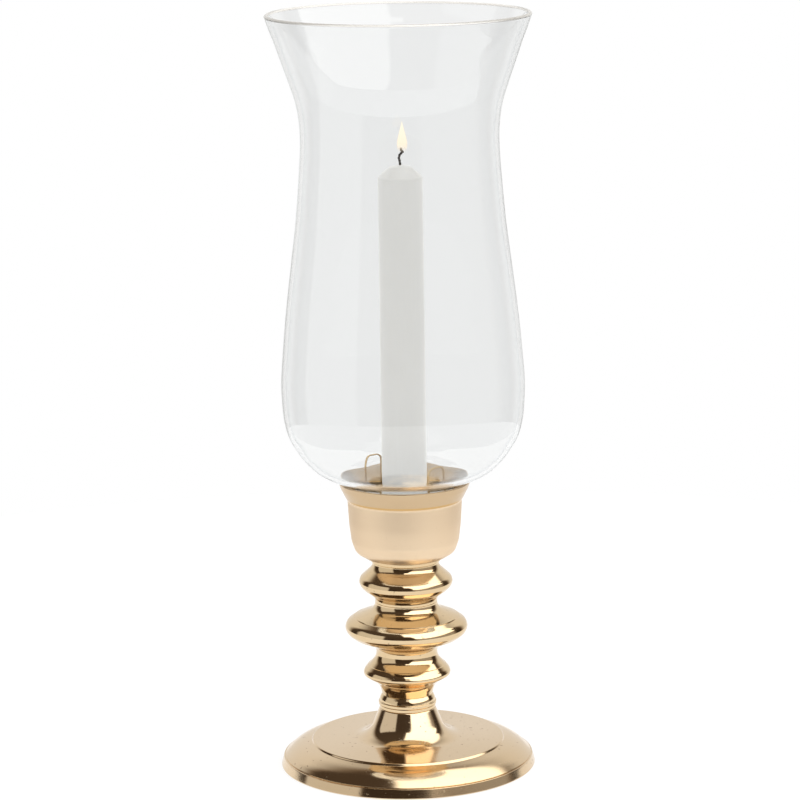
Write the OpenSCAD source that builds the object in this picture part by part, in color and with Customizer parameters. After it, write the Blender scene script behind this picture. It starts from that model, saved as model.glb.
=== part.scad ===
// Hurricane candle lantern, turned brass stand with a loose glass shade.
// Millimetres, +Z up. Origin: centre of the underside, on the turning axis.
// -Y is the front. Every turned piece is drawn as a half section (radius, height).

/* [Overall] */
// height of the lantern over the shade rim
overall_height = 368.6;
// outside radius of the foot
foot_radius = 62.4;
// outside radius of the shade mouth
mouth_radius = 63.6;

/* [Stem joints, heights above the table] */
z_foot_top = 28.2;
z_collar_top = 35.3;
z_lower_top = 56.6;
z_middle_top = 81.9;
z_upper_top = 101.9;
z_seat_top = 104.4;

/* [Cup] */
cup_lip_radius = 32.2;
cup_lip_z = 142.2;
cup_floor_z = 106.6;
cup_wall = 1.3;

/* [Tie rod, M6] */
rod_radius = 3.0;
rod_bore = 3.05;
rod_bottom = 10.6;
rod_top = 114.6;
nut_flats = 10.0;
nut_height = 5.0;

/* [Candle] */
// standard dinner candle, 22 mm
candle_radius = 11.0;
candle_top_radius = 10.75;
candle_bottom_z = 115.4;
candle_shoulder_z = 290.6;
candle_tip_z = 296.4;
wick_radius = 0.55;

/* [Candle socket] */
socket_bore = 11.4;
socket_outer = 12.9;
socket_top_z = 134.0;

/* [Glass shade] */
glass_wall = 2.0;
neck_outer = 23.8;
neck_bottom_z = 128.0;
rim_bead = 1.2;

/* [Shade springs] */
wire_radius = 0.5;
spring_plane = 19.9;
spring_half_foot = 5.9;
spring_corner = 4.0;
spring_top_z = 151.6;
spring_azimuth = 140;

/* [Output] */

$fn = 96;

brass = [0.83, 0.66, 0.40];
satin_brass = [0.88, 0.79, 0.64];
steel = [0.62, 0.63, 0.65];
iron = [0.30, 0.30, 0.31];
felt = [0.16, 0.20, 0.16];
wax = [0.97, 0.96, 0.93];
char_black = [0.10, 0.09, 0.08];
clear = [0.82, 0.86, 0.86, 0.35];

// ---------------------------------------------------------------- helpers

function unit(v) = v / norm(v);
function cross2(a, b) = a[0] * b[1] - a[1] * b[0];

// One corner [r, z, radius] of a section, replaced by points on its tangent arc.
function round_corner(a, b, c) =
    let (u = unit([a[0] - b[0], a[1] - b[1]]),
         v = unit([c[0] - b[0], c[1] - b[1]]),
         p = [b[0], b[1]],
         half = acos(max(-1, min(1, u * v))) / 2)
    b[2] == 0 || half > 89.5 ? [p] :
    let (t = b[2] / tan(half),
         m = p + unit(u + v) * b[2] / sin(half),
         a0 = p + u * t - m,
         s0 = atan2(a0[1], a0[0]),
         turn = 180 - 2 * half,
         sgn = cross2(u, v) > 0 ? -1 : 1,
         n = max(2, ceil(turn / 7.5)))
    [for (k = [0 : n]) let (w = s0 + sgn * turn * k / n) m + b[2] * [cos(w), sin(w)]];

// A whole section: corners with their radii, in order around the outline.
function rounded(q) =
    let (n = len(q))
    [for (i = [0 : n - 1])
        each round_corner(q[(i + n - 1) % n], q[i], q[(i + 1) % n])];

module turned(q) rotate_extrude() polygon(rounded(q));

// Smooth curve through a list of points.
function spline_at(a, b, c, d, t) =
    0.5 * (2 * b + (c - a) * t + (2 * a - 5 * b + 4 * c - d) * t * t
           + (3 * b - a - 3 * c + d) * t * t * t);
function spline(p, n) =
    let (last = len(p) - 1)
    concat([for (i = [0 : last - 1]) for (k = [0 : n - 1])
        spline_at(p[max(0, i - 1)], p[i], p[i + 1], p[min(last, i + 2)], k / n)],
        [p[last]]);

// The same curve moved sideways by d.
function shifted(c, d) =
    let (n = len(c) - 1)
    [for (i = [0 : n])
        let (t = unit(c[min(n, i + 1)] - c[max(0, i - 1)]))
        c[i] + d * [-t[1], t[0]]];

// Points on an arc about m, from the direction `from` through `turn` degrees.
function arc(m, r, from, turn, n) =
    [for (k = [0 : n]) m + r * [cos(from + turn * k / n), sin(from + turn * k / n)]];

// Quarter or longer bend in round wire, in the XZ plane about m, starting at
// the +X side and turning up and over through `turn` degrees.
module bend(m, radius, turn, r) {
    translate([m[0], 0, m[1]]) rotate([90, 0, 0])
        rotate_extrude(angle = turn) translate([radius, 0]) circle(r = r);
}

// ---------------------------------------------------------------- foot

module felt_pad() {
    color(felt) translate([0, 0, 0]) cylinder(r = 58.0, h = 2.0);
}

module foot() {
    color(brass) turned([
        [rod_bore, z_foot_top, 0],
        [13.55, z_foot_top, 0],
        [13.85, 27.9, 0],
        [19.73, 13.97, 11],
        [46.80, 13.00, 0.6],
        [47.35, 12.00, 0],
        [54.90, 9.95, 20.0],
        [60.40, 5.15, 0],
        [60.10, 4.80, 0],
        [61.15, 4.65, 0.2],
        [foot_radius, 0.45, 0.3],
        [foot_radius - 0.4, 0.10, 0],
        [58.2, 0.10, 0],
        [58.2, 2.00, 0],
        [55.5, 2.00, 0],
        [46.0, 9.00, 2.5],
        [13.0, 9.00, 0],
        [9.6, 20.0, 0],
        [rod_bore, 20.0, 0]]);
}

module ballast() {
    color(iron) difference() {
        translate([0, 0, 3.0]) cylinder(r = 44.0, h = 6.0);
        translate([0, 0, 2.0]) cylinder(r = 15.0, h = 8.0);
        for (a = [60, 180, 300])
            rotate([0, 0, a]) translate([30, 0, 2.0]) cylinder(r = 3.0, h = 8.0);
    }
}

// ---------------------------------------------------------------- fasteners

module hex_nut(z) {
    translate([0, 0, z]) difference() {
        intersection() {
            cylinder(r = nut_flats / 2 / cos(30), h = nut_height, $fn = 6);
            rotate_extrude() polygon([[0, 0], [5.0, 0], [5.9, 0.6],
                [5.9, nut_height - 0.6], [5.0, nut_height], [0, nut_height]]);
        }
        translate([0, 0, -1]) cylinder(r = rod_bore, h = nut_height + 2);
    }
}

module foot_nut() { color(steel) hex_nut(11.6); }

module lock_washer() {
    color(steel) difference() {
        translate([0, 0, 16.6]) cylinder(r = 5.6, h = 1.6);
        translate([0, 0, 16]) cylinder(r = rod_bore, h = 4);
        translate([0, -0.6, 16]) cube([8, 1.2, 4]);
    }
}

module foot_washer() {
    color(steel) difference() {
        translate([0, 0, 18.2]) cylinder(r = 7.6, h = 1.8);
        translate([0, 0, 18]) cylinder(r = rod_bore, h = 4);
    }
}

module tie_rod() {
    color(steel) rotate_extrude() polygon([
        [0, rod_bottom], [rod_radius - 0.6, rod_bottom],
        [rod_radius, rod_bottom + 0.6], [rod_radius, rod_top - 0.6],
        [rod_radius - 0.6, rod_top], [0, rod_top]]);
}

// ---------------------------------------------------------------- stem

// Small ring moulding at the root of the stem.
module collar() {
    color(brass) turned([
        [rod_bore, z_foot_top, 0],
        [13.55, z_foot_top, 0],
        [13.75, 28.5, 0],
        [13.75, 29.95, 0.35],
        [14.20, 30.15, 0.35],
        [14.20, 31.65, 0.35],
        [13.70, 31.85, 0.35],
        [13.55, 33.20, 4],
        [12.62, 35.05, 0],
        [12.40, z_collar_top, 0],
        [rod_bore, z_collar_top, 0]]);
}

module lower_knop() {
    color(brass) turned([
        [rod_bore, z_collar_top, 0],
        [12.40, z_collar_top, 0],
        [13.66, 40.40, 8.0],
        [20.20, 44.60, 0],
        [21.15, 45.30, 1.0],
        [21.40, 46.60, 1.6],
        [20.60, 48.20, 3.0],
        [19.00, 50.05, 0],
        [18.62, 50.15, 0],
        [15.00, 54.25, 6.4],
        [15.00, z_lower_top, 0],
        [rod_bore, z_lower_top, 0]]);
}

module middle_knop() {
    color(brass) turned([
        [rod_bore, z_lower_top, 0],
        [15.00, z_lower_top, 0],
        [15.00, 59.60, 4.6],
        [26.10, 64.25, 0],
        [29.10, 66.60, 4.0],
        [30.15, 69.20, 3.0],
        [29.15, 72.05, 4.0],
        [25.95, 74.10, 0],
        [25.45, 74.15, 0],
        [25.40, 74.55, 0],
        [24.95, 74.70, 0],
        [15.25, 78.70, 4.5],
        [15.25, 81.80, 0],
        [15.15, z_middle_top, 0],
        [rod_bore, z_middle_top, 0]]);
}

module upper_knop() {
    color(brass) turned([
        [rod_bore, z_middle_top, 0],
        [15.15, z_middle_top, 0],
        [15.30, 82.05, 0],
        [15.30, 84.20, 4.0],
        [20.60, 88.10, 0],
        [22.20, 89.90, 2.5],
        [23.00, 91.90, 2.4],
        [22.30, 94.10, 3.0],
        [16.25, 99.60, 4.5],
        [16.25, z_upper_top, 0],
        [rod_bore, z_upper_top, 0]]);
}

// ---------------------------------------------------------------- cup

module cup_seat() {
    color(brass) turned([
        [rod_bore, z_upper_top, 0],
        [16.25, z_upper_top, 0],
        [16.95, 102.30, 0.3],
        [16.95, 103.70, 0.4],
        [16.60, z_seat_top, 0],
        [rod_bore, z_seat_top, 0]]);
}

module cup() {
    color(satin_brass) turned([
        [rod_bore, z_seat_top, 0],
        [19.60, z_seat_top, 0.4],
        [24.30, 107.30, 5.0],
        [26.15, 112.60, 9],
        [27.20, 121.0, 60],
        [27.85, 132.50, 1.6],
        [31.00, 138.80, 2.2],
        [cup_lip_radius, cup_lip_z, 0.4],
        [cup_lip_radius - 0.9, cup_lip_z, 0.4],
        [29.90, 139.10, 2.0],
        [26.60, 133.00, 2.2],
        [25.90, 121.0, 60],
        [24.90, 113.0, 7],
        [23.30, cup_floor_z, 2.4],
        [rod_bore, cup_floor_z, 0]]);
}

// Thin plate under the socket that carries the four spring ends.
module spring_plate() {
    color(brass) difference() {
        translate([0, 0, cup_floor_z]) cylinder(r = 21.2, h = 1.0);
        translate([0, 0, cup_floor_z - 1]) cylinder(r = rod_bore, h = 3);
        for (side = [0, 180], e = [-1, 1])
            rotate([0, 0, spring_azimuth + side])
                translate([spring_plane, e * spring_half_foot, cup_floor_z - 1])
                    cylinder(r = wire_radius + 0.3, h = 3);
        for (a = [50, 230])
            rotate([0, 0, a + spring_azimuth - 140])
                translate([18, 0, cup_floor_z - 1]) cylinder(r = 2, h = 3);
    }
}

// Half of a spring loop: leg, round corner, half of the top.
module spring_side() {
    h = spring_half_foot;
    c = spring_corner;
    top = spring_top_z - wire_radius;
    translate([h, 0, cup_floor_z + 0.4])
        cylinder(r = wire_radius, h = top - c - cup_floor_z - 0.4);
    bend([h - c, top - c], c, 90, wire_radius);
    translate([0, 0, top]) rotate([0, 90, 0]) cylinder(r = wire_radius, h = h - c);
}

// Wire loop standing on the plate, inside the neck of the shade.
module spring_loop() {
    color(brass) translate([spring_plane, 0, 0]) rotate([0, 0, 90]) union() {
        spring_side();
        mirror([1, 0, 0]) spring_side();
    }
}

module spring_left() { rotate([0, 0, spring_azimuth]) spring_loop(); }
module spring_right() { rotate([0, 0, spring_azimuth + 180]) spring_loop(); }

module candle_socket() {
    color(brass) turned([
        [rod_bore, cup_floor_z + 1.0, 0],
        [15.6, cup_floor_z + 1.0, 0],
        [15.6, cup_floor_z + 2.4, 0.4],
        [socket_outer, cup_floor_z + 2.4, 0.8],
        [socket_outer, socket_top_z - 1.2, 0],
        [socket_outer + 0.9, socket_top_z - 0.9, 0.3],
        [socket_outer + 0.9, socket_top_z, 0.3],
        [socket_bore, socket_top_z, 0.3],
        [socket_bore, candle_bottom_z, 0],
        [9.0, candle_bottom_z, 0],
        [9.0, cup_floor_z + 2.6, 0],
        [rod_bore, cup_floor_z + 2.6, 0]]);
}

module socket_nut() { color(steel) hex_nut(cup_floor_z + 2.6); }

// ---------------------------------------------------------------- candle

module candle() {
    color(wax) difference() {
        turned([
            [0, candle_bottom_z, 0],
            [candle_radius - 0.5, candle_bottom_z, 0],
            [candle_radius, candle_bottom_z + 0.5, 0],
            [candle_top_radius, candle_shoulder_z, 1.6],
            [5.2, candle_tip_z - 0.9, 2.2],
            [0, candle_tip_z, 0]]);
        translate([0, 0, candle_tip_z - 6]) cylinder(r = wick_radius, h = 10);
    }
}

module wick() {
    // stands up out of the wax and curls over to the right
    curl = 1.25;
    turn_z = candle_tip_z + 6.3;
    color(char_black) union() {
        translate([0, 0, candle_tip_z - 6])
            cylinder(r = wick_radius, h = turn_z - candle_tip_z + 6);
        mirror([1, 0, 0]) bend([-curl, turn_z], curl, 150, wick_radius);
    }
}

// ---------------------------------------------------------------- shade

// Outside of the glass, from the mouth to the end of the neck.
shade_line = [
    [mouth_radius - 0.25, overall_height - 1.3],
    [61.35, 361.5], [59.15, 355.8], [55.3, 344.5], [51.35, 333.0],
    [49.55, 327.2], [48.4, 321.5], [47.75, 315.7], [47.5, 309.5],
    [47.7, 303.0], [48.4, 292.6], [50.4, 269.4], [53.4, 246.0],
    [56.2, 222.8], [58.35, 199.2], [58.85, 190.0], [58.65, 183.0],
    [58.15, 176.0], [57.25, 170.4], [55.6, 164.9], [52.6, 159.4],
    [48.75, 153.9], [43.7, 148.8], [38.0, 145.3], [32.0, 142.9],
    [27.6, 141.0], [24.7, 138.0], [neck_outer, 134.0],
    [neck_outer, neck_bottom_z + 1.0]];

module shade() {
    outer = spline(shade_line, 3);
    inner = shifted(outer, -glass_wall);
    n = len(outer) - 1;
    lip = (outer[0] + inner[0]) / 2;
    foot_end = (outer[n] + inner[n]) / 2;
    color(clear) rotate_extrude() polygon(concat(
        arc(lip, rim_bead, 168, -160, 14),
        outer,
        arc(foot_end, glass_wall / 2, -15, -150, 8),
        [for (i = [n : -1 : 0]) inner[i]]));
}

// ---------------------------------------------------------------- parts

felt_pad();
foot();
ballast();
foot_nut();
lock_washer();
foot_washer();
tie_rod();
collar();
lower_knop();
middle_knop();
upper_knop();
cup_seat();
cup();
spring_plate();
spring_left();
spring_right();
candle_socket();
socket_nut();
candle();
wick();
shade();
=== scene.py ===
"""Hurricane candle lantern: turned brass stand, loose glass shade, dinner candle.

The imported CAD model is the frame. The turned pieces are turned again here from the
sections of their own CAD nodes, with finer steps and softened edges, so every
dimension stays the CAD's. A charred wick takes the place of the CAD's smooth one, and
the flame, which has no CAD node, is added.
"""
import math

import bmesh
import bpy
from mathutils import Matrix, Vector


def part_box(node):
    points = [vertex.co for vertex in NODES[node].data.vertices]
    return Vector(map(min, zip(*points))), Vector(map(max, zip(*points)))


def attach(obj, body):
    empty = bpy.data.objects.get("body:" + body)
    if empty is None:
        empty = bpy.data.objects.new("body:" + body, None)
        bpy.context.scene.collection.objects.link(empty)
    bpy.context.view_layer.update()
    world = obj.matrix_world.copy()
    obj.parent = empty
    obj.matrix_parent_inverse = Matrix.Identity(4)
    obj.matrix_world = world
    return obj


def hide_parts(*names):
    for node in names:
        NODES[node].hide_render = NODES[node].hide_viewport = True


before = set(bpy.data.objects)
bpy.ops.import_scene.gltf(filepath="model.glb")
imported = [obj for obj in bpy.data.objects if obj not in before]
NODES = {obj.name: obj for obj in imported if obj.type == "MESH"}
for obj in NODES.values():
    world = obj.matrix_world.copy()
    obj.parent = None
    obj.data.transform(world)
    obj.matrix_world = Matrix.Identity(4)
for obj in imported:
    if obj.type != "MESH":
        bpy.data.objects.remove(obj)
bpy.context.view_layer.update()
MM = 0.001
WHITE = (1.0, 1.0, 1.0, 1.0)

CUP_CREASE = 133.0 * MM          # the cup flares, and is buffed, above this height
NECK_Z = (140 * MM, 146 * MM)    # the shade's neck passes into its belly here
RIM_LINE = 0.9 * MM              # height of the pale line, a painted highlight, along the shade's rim
FLAME_RISE = (4.5 * MM, 21.5 * MM)   # where the flame is, over the top of the wax
FLAME_RADIUS = 3.0 * MM
FLAME_GLOW = 1.22
# Most of the wax's brightness is painted light, a glow of its own. Little light reaches it
# through the shade in the render, and white wax would be lost against the white ground
# outside it.
WAX_PAINTED_LIGHT = 0.585


# ------------------------------------------------------------------ node helpers

def material(name):
    """A new node material, with its tree and its output node."""
    mat = bpy.data.materials.new(name)
    mat.use_nodes = True
    nt = mat.node_tree
    nt.nodes.clear()
    return mat, nt, nt.nodes.new("ShaderNodeOutputMaterial")


def put(nt, socket, v):
    """Link v to the socket if v is a socket, or set it as the socket's value."""
    if isinstance(v, bpy.types.NodeSocket):
        nt.links.new(v, socket)
    else:
        socket.default_value = v


def add(nt, kind, inputs=(), **props):
    n = nt.nodes.new(kind)
    for k, v in props.items():
        setattr(n, k, v)
    for k, v in dict(inputs).items():
        put(nt, n.inputs[k], v)
    return n


def principled(nt, out, inputs):
    bs = add(nt, "ShaderNodeBsdfPrincipled", inputs)
    nt.links.new(bs.outputs[0], out.inputs["Surface"])
    return bs


def mth(nt, op, a, b=None, clamp=False):
    n = add(nt, "ShaderNodeMath", {0: a}, operation=op, use_clamp=clamp)
    if b is not None:
        put(nt, n.inputs[1], b)
    return n.outputs[0]


def plus(nt, a, b, clamp=False):
    return mth(nt, "ADD", a, b, clamp)


def times(nt, a, b, clamp=False):
    return mth(nt, "MULTIPLY", a, b, clamp)


def step(nt, v, lo, hi, a=0.0, b=1.0, kind="SMOOTHSTEP"):
    """From a to b as v goes from lo to hi."""
    n = add(nt, "ShaderNodeMapRange", {"Value": v, "From Min": lo, "From Max": hi,
                                       "To Min": a, "To Max": b})
    n.interpolation_type = kind
    return n.outputs["Result"]


def mixc(nt, f, a, b, blend="MIX"):
    return add(nt, "ShaderNodeMix", {0: f, 6: a, 7: b},
               data_type="RGBA", blend_type=blend).outputs[2]


def noise(nt, vec, scale, detail=3.0, rough=0.5):
    return add(nt, "ShaderNodeTexNoise", {"Vector": vec, "Scale": scale,
                                          "Detail": detail, "Roughness": rough}).outputs[0]


def bumped(nt, height, strength, distance):
    return add(nt, "ShaderNodeBump", {"Height": height, "Strength": strength,
                                      "Distance": distance}).outputs[0]


def object_coords(nt):
    return nt.nodes.new("ShaderNodeTexCoord").outputs["Object"]


def split(nt, vec):
    return add(nt, "ShaderNodeSeparateXYZ", {"Vector": vec}).outputs


def join(nt, x, y, z):
    return add(nt, "ShaderNodeCombineXYZ", {"X": x, "Y": y, "Z": z}).outputs[0]


def facing(nt, blend):
    """0 where a surface is seen square on, 1 where it is seen edge on."""
    return add(nt, "ShaderNodeLayerWeight", {"Blend": blend}).outputs["Facing"]


def srgb(r, g, b):
    def lin(c):
        c /= 255.0
        return c / 12.92 if c <= 0.04045 else ((c + 0.055) / 1.055) ** 2.4
    return (lin(r), lin(g), lin(b), 1.0)


# ------------------------------------------------------------------ materials

def brass(name, tone, deep, rough_lo, rough_hi, lines, specks=0.35, smear=26.0, lip=None):
    """Brass that varies between two tones and two roughnesses, with polishing lines that
    run round the piece. Above the height `lip`, where one is given, it is buffed."""
    mat, nt, out = material(name)
    co = object_coords(nt)
    x, y, z = split(nt, co)
    r = mth(nt, "SQRT", plus(nt, times(nt, x, x), times(nt, y, y)))
    a = mth(nt, "ARCTAN2", y, x)
    # broad handling marks and a slow change of tone
    cloud = noise(nt, co, smear, 5.0, 0.6)
    slow = noise(nt, co, 9.0, 2.0, 0.5)
    # polishing lines: noise that changes little with the angle round the axis
    fine = noise(nt, join(nt, r, z, times(nt, a, 0.0004)), 5200.0, 2.0, 0.6)
    wide = noise(nt, join(nt, r, z, times(nt, a, 0.0008)), 900.0, 3.0, 0.6)
    # pin-head pits
    pit = step(nt, noise(nt, co, 620.0, 1.0, 0.4), 0.70, 0.78)
    tint = mixc(nt, step(nt, slow, 0.35, 0.65), tone, deep)
    tint = mixc(nt, times(nt, pit, specks), tint, (0.10, 0.055, 0.025, 1.0))
    rough = step(nt, cloud, 0.30, 0.72, rough_lo, rough_hi)
    rough = plus(nt, rough, times(nt, wide, lines * 0.10))
    rough = plus(nt, rough, times(nt, pit, 0.6 * specks), clamp=True)
    if lip is not None:
        # the flare above this height is buffed, and a little deeper in tone
        buffed = step(nt, z, lip, lip + 0.5 * MM)
        tint = mixc(nt, buffed, tint, (0.70, 0.65, 0.57, 1.0), "MULTIPLY")
        rough = times(nt, rough, step(nt, buffed, 0.0, 1.0, 1.0, 0.5))
        # with a bright polished line at its foot
        line = times(nt, buffed,
                     step(nt, z, lip + 1.1 * MM, lip + 1.7 * MM, 1.0, 0.0))
        tint = mixc(nt, line, tint, (1.0, 0.88, 0.62, 1.0), "MULTIPLY")
        rough = times(nt, rough, step(nt, line, 0.0, 1.0, 1.0, 0.35))
    height = plus(nt, times(nt, fine, 0.6), times(nt, wide, 0.6))
    principled(nt, out, {"Base Color": tint, "Metallic": 1.0, "Roughness": rough,
                         "Normal": bumped(nt, height, lines, 0.00002)})
    return mat


def steel(name):
    mat, nt, out = material(name)
    co = object_coords(nt)
    grain = noise(nt, co, 380.0, 4.0, 0.6)
    tint = mixc(nt, grain, (0.42, 0.42, 0.43, 1), (0.62, 0.62, 0.60, 1))
    principled(nt, out, {"Base Color": tint, "Metallic": 1.0,
                         "Roughness": step(nt, grain, 0.3, 0.7, 0.25, 0.45),
                         "Normal": bumped(nt, noise(nt, co, 2400.0, 2.0), 0.15, 0.00003)})
    return mat


def iron(name):
    mat, nt, out = material(name)
    co = object_coords(nt)
    tint = mixc(nt, noise(nt, co, 240.0, 6.0, 0.65),
                (0.035, 0.034, 0.036, 1), (0.11, 0.085, 0.07, 1))
    principled(nt, out, {"Base Color": tint, "Metallic": 0.4, "Roughness": 0.75,
                         "Normal": bumped(nt, noise(nt, co, 900.0, 4.0), 0.5, 0.0003)})
    return mat


def felt(name):
    mat, nt, out = material(name)
    co = object_coords(nt)
    fluff = noise(nt, co, 1500.0, 6.0, 0.7)
    worn = noise(nt, co, 60.0, 3.0, 0.5)
    tint = mixc(nt, fluff, (0.012, 0.020, 0.013, 1), (0.045, 0.065, 0.045, 1))
    tint = mixc(nt, times(nt, worn, 0.3), tint, (0.06, 0.07, 0.05, 1))
    principled(nt, out, {"Base Color": tint, "Roughness": 0.95, "Sheen Weight": 0.6,
                         "Sheen Roughness": 0.4,
                         "Normal": bumped(nt, fluff, 0.8, 0.0004)})
    return mat


def wax(name):
    mat, nt, out = material(name)
    co = object_coords(nt)
    x, y, z = split(nt, co)
    a = mth(nt, "ARCTAN2", y, x)
    cloud = noise(nt, co, 40.0, 3.0, 0.5)
    # long drawn marks from the mould
    draw = noise(nt, join(nt, times(nt, a, 3.0), times(nt, z, 6.0), 0.0), 6.0, 3.0, 0.5)
    # the base colour is kept dark, so that the painted glow gives most of the wax's
    # brightness
    tint = mixc(nt, step(nt, cloud, 0.3, 0.7), srgb(137, 136, 133), srgb(131, 130, 127))
    principled(nt, out, {"Base Color": tint,
                         "Roughness": step(nt, cloud, 0.3, 0.7, 0.32, 0.45),
                         "Subsurface Weight": 0.6, "Subsurface Radius": (0.9, 0.75, 0.6),
                         "Subsurface Scale": 0.006, "Specular IOR Level": 0.4,
                         "Normal": bumped(nt, draw, 0.25, 0.0003),
                         # painted light: the wax glows as if lit, though it is no lamp
                         "Emission Color": (1.0, 0.997, 0.965, 1.0),
                         "Emission Strength": WAX_PAINTED_LIGHT})
    return mat


def char(name):
    mat, nt, out = material(name)
    grain = noise(nt, object_coords(nt), 2600.0, 4.0, 0.7)
    tint = mixc(nt, grain, (0.006, 0.005, 0.004, 1), (0.05, 0.035, 0.025, 1))
    principled(nt, out, {"Base Color": tint, "Roughness": 0.85,
                         "Normal": bumped(nt, grain, 0.7, 0.0002)})
    return mat


def glass(name):
    mat, nt, out = material(name)
    co = object_coords(nt)
    # blown glass: long slow waves, stretched along the height
    stretched = add(nt, "ShaderNodeMapping", {"Vector": co, "Scale": (1.0, 1.0, 0.35)})
    wave = noise(nt, stretched.outputs[0], 18.0, 2.0, 0.4)
    # greyer and bluer at the edges: partly because more glass is looked through there, partly
    # painted shade for the dark studio that the edges reflect
    tint = mixc(nt, step(nt, facing(nt, 0.5), 0.74, 1.0), (0.932, 0.938, 0.937, 1.0),
                (0.50, 0.60, 0.64, 1.0))
    # painted light: the neck, down in the cup, is made paler so that it does not render as a
    # dark band there
    neck = step(nt, split(nt, co)[2], NECK_Z[0], NECK_Z[1], 1.0, 0.0)
    tint = mixc(nt, neck, tint, (0.98, 0.975, 0.96, 1.0))
    # transmission and roughness stay plain values, which the exporter carries as they are
    principled(nt, out, {"Base Color": tint, "Roughness": 0.0, "IOR": 1.50,
                         "Transmission Weight": 1.0,
                         "Normal": bumped(nt, wave, 0.10, 0.002)})
    return mat


def painted_rim_glass(name):
    """The rim: paler and less clear than the wall, a painted highlight where the bead catches
    the light.
    """
    mat, nt, out = material(name)
    tint = mixc(nt, noise(nt, object_coords(nt), 60.0, 3.0), (0.76, 0.73, 0.68, 1.0),
                (0.64, 0.62, 0.58, 1.0))
    principled(nt, out, {"Base Color": tint, "Roughness": 0.05, "IOR": 1.50,
                         "Transmission Weight": 0.45})
    return mat


def flame_glow(name, lo, hi):
    """Gas that glows from a little over lo up to hi, and is clear at its foot and edge."""
    mat, nt, out = material(name)
    up = step(nt, split(nt, object_coords(nt))[2], lo, hi, 0.0, 1.0, "LINEAR")
    dense = times(nt, step(nt, up, 0.08, 0.42),
                  step(nt, facing(nt, 0.35), 0.15, 0.95, 0.92, 0.0), clamp=True)
    hot = mixc(nt, step(nt, up, 0.20, 0.85), (1.0, 0.86, 0.66, 1.0), (1.0, 0.90, 0.72, 1.0))
    glow = add(nt, "ShaderNodeEmission", {"Color": hot, "Strength": FLAME_GLOW})
    clear = nt.nodes.new("ShaderNodeBsdfTransparent")
    mixed = add(nt, "ShaderNodeMixShader", {0: dense, 1: clear.outputs[0],
                                            2: glow.outputs[0]})
    nt.links.new(mixed.outputs[0], out.inputs["Surface"])
    return mat


# ------------------------------------------------------------------ turning

def solid(name, bm, smooth=True):
    """An object in the scene from the faces of bm."""
    me = bpy.data.meshes.new(name)
    bm.to_mesh(me)
    bm.free()
    for f in me.polygons:
        f.use_smooth = smooth
    ob = bpy.data.objects.new(name, me)
    bpy.context.scene.collection.objects.link(ob)
    return ob


def quad_ring(bm, a, b):
    """Quads between two closed rows of as many vertices."""
    for k in range(len(a)):
        m = (k + 1) % len(a)
        bm.faces.new((a[k], a[m], b[m], b[k]))


def section(name):
    """The half section of a turned CAD node, as points (radius, height) in order.

    Each ring of vertices in the node's mesh is one point, and rings joined by mesh
    edges are neighbours. A section that closes on itself is returned as closed."""
    me = NODES[name].data
    rings, key, ids = [], {}, []
    for v in me.vertices:
        r, z = math.hypot(v.co.x, v.co.y), v.co.z
        k = (round(r * 2.5e5), round(z * 2.5e5))
        found = None
        for dr in (0, -1, 1):
            for dz in (0, -1, 1):
                if (k[0] + dr, k[1] + dz) in key:
                    found = key[(k[0] + dr, k[1] + dz)]
                    break
            if found is not None:
                break
        if found is None:
            found = len(rings)
            rings.append((r, z))
            key[k] = found
        ids.append(found)
    near = {i: set() for i in range(len(rings))}
    for e in me.edges:
        a, b = ids[e.vertices[0]], ids[e.vertices[1]]
        if a != b:
            near[a].add(b)
            near[b].add(a)
    ends = [i for i in near if len(near[i]) == 1]
    start = min(ends, key=lambda i: rings[i][1]) if ends else 0
    order, last, here = [start], None, start
    while True:
        nxt = [i for i in near[here] if i != last and (i not in order)]
        if not nxt:
            break
        last, here = here, nxt[0]
        order.append(here)
    if len(order) != len(rings):
        raise RuntimeError(f"{name}: {len(order)} of {len(rings)} rings in its section")
    return [Vector(rings[i]) for i in order], not ends


SHARP = 13          # degrees: a corner that turns by less is part of an arc
BEVEL_STEPS = 4
ALIKE = 2.5         # neighbouring steps of one arc differ in length by less than this


def soften(pts, closed, edge):
    """The same section with its sharp corners rounded by about `edge`, its arcs
    halved, and a holding point at each end of every long straight."""
    if not closed:
        for i in (0, -1):
            if pts[i][0] > 1e-6:
                p = Vector((0.0, pts[i][1]))
                pts = [p] + pts if i == 0 else pts + [p]
    n = len(pts)
    out = []
    for i, p in enumerate(pts):
        if not closed and i in (0, n - 1):
            out.append((p, True))
            continue
        a, b = pts[i - 1] - p, pts[(i + 1) % n] - p
        turn = math.pi - a.angle(b)
        if turn < math.radians(SHARP):
            out.append((p, False))
            continue
        d = min(edge, 0.33 * a.length, 0.33 * b.length)
        q0, q1 = p + a.normalized() * d, p + b.normalized() * d
        for k in range(BEVEL_STEPS + 1):
            t = k / BEVEL_STEPS
            out.append((q0 * (1 - t) ** 2 + p * 2 * t * (1 - t) + q1 * t * t, True))
    pts = [p for p, _ in out]
    hard = [h for _, h in out]
    n = len(pts)
    res = []
    for i in range(n if closed else n - 1):
        p0, p1, p2, p3 = (pts[(i + k) % n] for k in (-1, 0, 1, 2))
        res.append(p1)
        inside = closed or i not in (0, n - 2)
        length = (p2 - p1).length
        before, after = (p1 - p0).length, (p3 - p2).length
        if (inside and not hard[i] and not hard[(i + 1) % n]
                and length < ALIKE * before and length < ALIKE * after
                and before < ALIKE * length and after < ALIKE * length):
            res.append((9 * (p1 + p2) - p0 - p3) / 16.0)
        elif length > 2.0 * min(before, after) and length > 0.5 * MM:
            d = min(0.12 * length, 0.35 * MM)
            res.append(p1.lerp(p2, d / length))
            res.append(p1.lerp(p2, 1 - d / length))
    if not closed:
        res.append(pts[-1])
    return res


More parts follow.
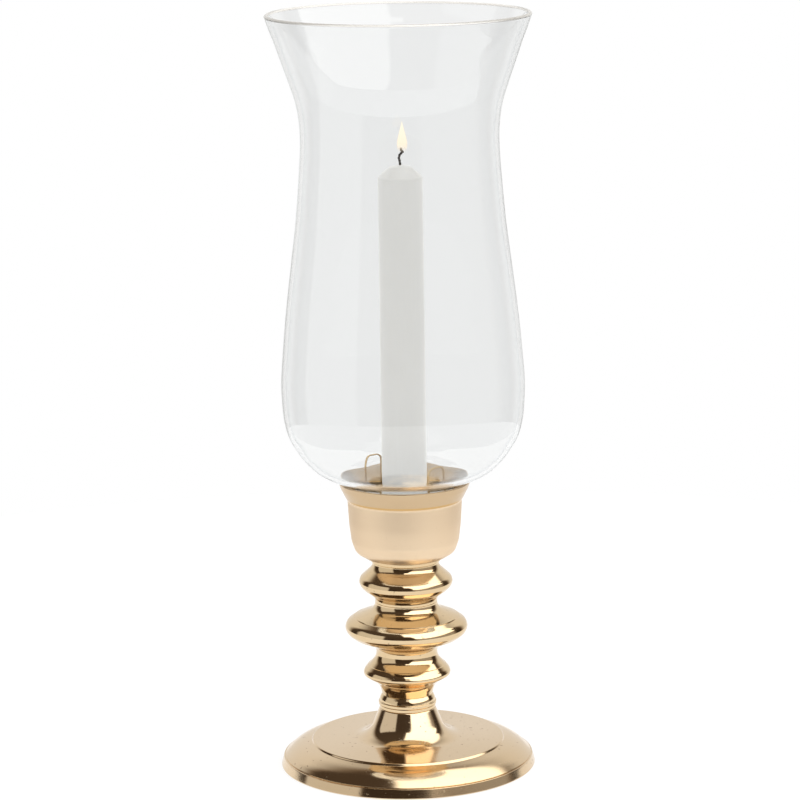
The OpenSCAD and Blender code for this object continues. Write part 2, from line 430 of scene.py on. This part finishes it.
def lathe(name, pts, closed, around):
    """A closed surface of revolution about Z."""
    bm = bmesh.new()
    cs = [(math.cos(2 * math.pi * k / around), math.sin(2 * math.pi * k / around))
          for k in range(around)]
    rows = []
    for p in pts:
        if p[0] < 1e-6:
            rows.append([bm.verts.new((0.0, 0.0, p[1]))])
        else:
            rows.append([bm.verts.new((p[0] * c, p[0] * s, p[1])) for c, s in cs])
    for i in range(len(rows) if closed else len(rows) - 1):
        a, b = rows[i], rows[(i + 1) % len(rows)]
        if len(a) > 1 and len(b) > 1:
            quad_ring(bm, a, b)
        elif len(a) > 1 or len(b) > 1:
            for k in range(around):
                m = (k + 1) % around
                bm.faces.new((a[0], b[m], b[k]) if len(a) == 1 else (a[k], a[m], b[0]))
    bmesh.ops.recalc_face_normals(bm, faces=bm.faces)
    return solid(name, bm)


def turned(node, body, mat, edge=0.18, around=144):
    pts, closed = section(node)
    ob = lathe(node + "_turned", soften(pts, closed, edge * MM), closed, around)
    ob.data.materials.append(mat)
    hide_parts(node)
    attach(ob, body)
    return ob


def dress(node, mat):
    """Give a CAD node that is kept as it is its material."""
    ob = NODES[node]
    if not ob.material_slots:
        ob.data.materials.append(mat)
    for s in ob.material_slots:
        s.link = "OBJECT"
        s.material = mat


# ------------------------------------------------------------------ the lantern

wick_lo, wick_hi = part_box("wick")
wax_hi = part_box("candle")[1]
flame_lo, flame_hi = (wax_hi[2] + rise for rise in FLAME_RISE)

POLISHED = brass("polished_brass", srgb(228, 203, 165), srgb(221, 193, 149),
                 0.05, 0.14, 0.25)
FOOT = brass("polished_foot_brass", srgb(226, 202, 169), srgb(219, 193, 156),
             0.06, 0.16, 0.35, specks=0.5, smear=34.0)
SATIN = brass("satin_brass", srgb(241, 218, 187), srgb(236, 211, 178),
              0.40, 0.48, 0.9, specks=0.03, smear=14.0, lip=CUP_CREASE)
WIRE = brass("spring_wire", srgb(214, 186, 138), srgb(196, 166, 118), 0.18, 0.3, 0.1)
STEEL = steel("zinc_steel")

turned("foot", "stand", FOOT, edge=0.22, around=192)
for node in ("collar", "lower_knop", "middle_knop", "upper_knop", "cup_seat"):
    turned(node, "stand", POLISHED, edge=0.05)
turned("cup", "stand", SATIN, edge=0.2)
turned("candle_socket", "stand", POLISHED, edge=0.15)
turned("tie_rod", "stand", STEEL, edge=0.1, around=64)
turned("felt_pad", "stand", felt("felt"), edge=0.5)
turned("candle", "candle_body", wax("candle_wax"), edge=0.3, around=96)
shade = turned("shade", "shade_body", glass("clear_glass"),
               edge=0.2, around=200)
# painted highlight: a pale, less clear band along the rim, in place of the light the bead
# catches
shade.data.materials.append(painted_rim_glass("glass_lip_painted_highlight"))
rim_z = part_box("shade")[1][2] - RIM_LINE
for f in shade.data.polygons:
    if f.center.z > rim_z:
        f.material_index = 1

dress("ballast", iron("weight_iron"))
dress("spring_plate", POLISHED)
for node in ("foot_nut", "lock_washer", "foot_washer", "socket_nut"):
    dress(node, STEEL)
for node in ("spring_left", "spring_right"):
    dress(node, WIRE)


def burnt(name, path, radius, around=20, steps=10):
    """A thin crooked cord through the points of `path` (x, z in mm), rough with char."""
    pts = [Vector((x, 0.0, z)) * MM for x, z in path]
    line = []
    for i in range(len(pts) - 1):
        p0, p1 = pts[max(i - 1, 0)], pts[i]
        p2, p3 = pts[i + 1], pts[min(i + 2, len(pts) - 1)]
        for k in range(steps):
            t = k / steps
            line.append(0.5 * (2 * p1 + (p2 - p0) * t
                               + (2 * p0 - 5 * p1 + 4 * p2 - p3) * t ** 2
                               + (3 * p1 - p0 - 3 * p2 + p3) * t ** 3))
    line.append(pts[-1])
    last = len(line) - 1
    across = Vector((0, 1, 0))
    bm = bmesh.new()
    rows = []
    for i, p in enumerate(line):
        way = (line[min(i + 1, last)] - line[max(i - 1, 0)]).normalized()
        side = way.cross(across).normalized()
        # uneven along its length, tapered over its last four steps, and not quite round
        thick = radius * MM * (0.9 + 0.16 * math.sin(i * 0.9) + 0.08 * math.sin(i * 2.3))
        if i > last - 4:
            thick *= 0.45 + 0.55 * (last - i) / 4.0
        turns = (2 * math.pi * k / around for k in range(around))
        rows.append([bm.verts.new(p + thick * (1 + 0.10 * math.sin(3 * a + i * 0.7))
                                  * (side * math.cos(a) + across * math.sin(a)))
                     for a in turns])
    for a, b in zip(rows[:-1], rows[1:]):
        quad_ring(bm, a, b)
    for row in (rows[0], rows[-1]):
        bm.faces.new(row)
    bmesh.ops.recalc_face_normals(bm, faces=bm.faces)
    return solid(name, bm)


foot_z, top_z = wick_lo[2] / MM, wax_hi[2] / MM
wick = burnt("wick_charred", [(0.0, foot_z + 0.3), (0.05, top_z - 1.0), (-0.10, top_z + 1.6),
                              (-0.45, top_z + 3.4), (0.10, top_z + 5.2), (1.25, top_z + 6.3),
                              (0.55, top_z + 7.4), (0.70, top_z + 8.4)], 0.62)
wick.data.materials.append(char("burnt_wick"))
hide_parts("wick")
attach(wick, "candle_body")

# Flame: a slim drop of glowing gas over the curl of the wick, with a point at each end.
DROP_STEPS = 24
drop = [Vector((0.0, flame_lo))]
for k in range(1, DROP_STEPS):
    t = k / DROP_STEPS
    w = math.sin(math.pi * t ** 0.68) ** 0.95 * (1 - 0.45 * t) * FLAME_RADIUS
    drop.append(Vector((w, flame_lo + (flame_hi - flame_lo) * t)))
drop.append(Vector((0.0, flame_hi)))
flame = lathe("flame", drop, False, 48)
flame.data.materials.append(flame_glow("flame", flame_lo, flame_hi))
flame.location = ((wick_lo[0] + wick_hi[0]) / 2, 0.0, 0.0)
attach(flame, "candle_body")


# ------------------------------------------------------------------ floor

bm = bmesh.new()
bmesh.ops.create_circle(bm, cap_ends=True, radius=0.60, segments=192)
floor = solid("floor", bm, smooth=False)
mat, nt, out = material("pale_floor")
tint = mixc(nt, noise(nt, object_coords(nt), 3.0, 2.0),
            (0.20, 0.20, 0.20, 1), (0.22, 0.22, 0.22, 1))
pale = principled(nt, out, {"Base Color": tint, "Roughness": 0.9,
                            "Specular IOR Level": 0.0, "Emission Color": WHITE,
                            "Emission Strength": 0.80})
# from below the floor is clear, so that the underside of the lantern can be looked at
below = nt.nodes.new("ShaderNodeNewGeometry").outputs["Backfacing"]
clear = nt.nodes.new("ShaderNodeBsdfTransparent")
mixed = add(nt, "ShaderNodeMixShader", {0: below, 1: pale.outputs[0], 2: clear.outputs[0]})
nt.links.new(mixed.outputs[0], out.inputs["Surface"])
floor.data.materials.append(mat)
# just under the foot, so that the two do not lie in one plane
floor.location.z = -0.2 * MM


# ------------------------------------------------------------------ studio

scene = bpy.context.scene
scene.view_settings.view_transform = "Standard"
scene.view_settings.look = "None"

world = bpy.data.worlds.new("studio")
scene.world = world
world.use_nodes = True
nt = world.node_tree
nt.nodes.clear()
wout = nt.nodes.new("ShaderNodeOutputWorld")
wx, wy, wz = split(nt, nt.nodes.new("ShaderNodeTexCoord").outputs["Generated"])
# degrees: azimuth 0 towards the front, positive to the right; height over the horizon
DEG = math.degrees(1.0)
az = times(nt, mth(nt, "ARCTAN2", wx, times(nt, wy, -1.0)), DEG)
el = times(nt, mth(nt, "ARCSINE", wz), DEG)


def panel(a0, a1, e0, e1, glow, soft, lean=0.0):
    """A softbox in the studio, seen only in reflections, between two azimuths and two
    heights. Its near edge may lean: `lean` degrees of azimuth for each degree of height
    above e0."""
    near = plus(nt, az, times(nt, mth(nt, "SUBTRACT", el, e0), lean))
    v = times(nt, step(nt, near, a0 - soft, a0 + soft),
              step(nt, az, a1 - soft, a1 + soft, 1.0, 0.0))
    w = times(nt, step(nt, el, e0 - soft, e0 + soft),
              step(nt, el, e1 - soft, e1 + soft, 1.0, 0.0))
    return times(nt, times(nt, v, w), glow)


key = panel(19, 106, 17, 100, 2.4, 3, lean=0.6)
fill = panel(-105, -44, -60, 31, 0.78, 3)
low = panel(22, 104, -60, 17, 0.45, 8)
spill = panel(-24, 16, -6, 8, 0.16, 5)
# white sweep behind, darker high up
sweep = times(nt, step(nt, mth(nt, "ABSOLUTE", az), 118.0, 142.0),
              step(nt, el, 30.0, 62.0, 0.90, 0.12))
# softbox overhead, measured where its plane is one unit up
above = mth(nt, "MAXIMUM", wz, 0.02)
over_x = mth(nt, "DIVIDE", wx, above)
over_y = mth(nt, "DIVIDE", wy, above)
overhead = times(nt, step(nt, over_x, -0.17, -0.07), step(nt, over_x, 1.25, 1.45, 1.0, 0.0))
overhead = times(nt, overhead, step(nt, over_y, -1.4, -1.2))
overhead = times(nt, overhead, step(nt, over_y, 0.55, 0.85, 2.3, 0.0))
# the dim room around them
glow = step(nt, el, -10.0, 60.0, 0.05, 0.10)
for lamp in (sweep, overhead, fill, low, spill, key):
    glow = mth(nt, "MAXIMUM", glow, lamp)
refl_col = mixc(nt, step(nt, glow, 0.05, 0.6), (0.85, 0.62, 0.45, 1), (1.0, 0.99, 0.97, 1))


def background(colour, strength):
    return add(nt, "ShaderNodeBackground", {"Color": colour, "Strength": strength}).outputs[0]


def choose(f, a, b):
    return add(nt, "ShaderNodeMixShader", {0: f, 1: a, 2: b}).outputs[0]


# reflections see the studio; glass, matt surfaces and the camera each see a plain ground
lp = nt.nodes.new("ShaderNodeLightPath").outputs
sky = choose(lp["Is Transmission Ray"], background(refl_col, glow), background(WHITE, 0.965))
sky = choose(mth(nt, "GREATER_THAN", lp["Diffuse Depth"], 0.5), sky,
             background((1.0, 0.99, 0.98, 1.0), 0.9))
sky = choose(lp["Is Camera Ray"], sky, background(WHITE, 1.0))
nt.links.new(sky, wout.inputs["Surface"])


def area(name, at, size, power):
    """A soft lamp that lights matt surfaces only, turned towards the lantern."""
    la = bpy.data.lights.new(name, "AREA")
    la.shape = "RECTANGLE"
    la.size, la.size_y = size
    la.energy = power
    ob = bpy.data.objects.new(name, la)
    scene.collection.objects.link(ob)
    ob.location = at
    towards = Vector((0, 0, 0.2)) - Vector(at)
    ob.rotation_euler = towards.to_track_quat("-Z", "Y").to_euler()
    ob.visible_glossy = False
    ob.visible_transmission = False
    ob.visible_camera = False


area("key_right", (1.3, -1.5, 1.5), (1.2, 1.2), 22.0)
area("fill_left", (-1.6, -0.8, 1.2), (1.0, 1.4), 10.0)

# ------------------------------------------------------------------ camera

CAMERA_AT = (-0.0016, -1.6587, 0.5163)
CAMERA_DOWN = 11.40     # degrees under the horizon
CAMERA_ROLL = -0.82     # degrees

cam_data = bpy.data.cameras.new("camera")
cam_data.sensor_width = 36.0
cam_data.lens = 157.45
cam_data.clip_start = 0.05
cam_data.clip_end = 50.0
cam = bpy.data.objects.new("camera", cam_data)
scene.collection.objects.link(cam)
cam.matrix_world = (Matrix.Translation(CAMERA_AT)
                    @ Matrix.Rotation(math.radians(90.0 - CAMERA_DOWN), 4, "X")
                    @ Matrix.Rotation(math.radians(CAMERA_ROLL), 4, "Z"))
scene.camera = cam
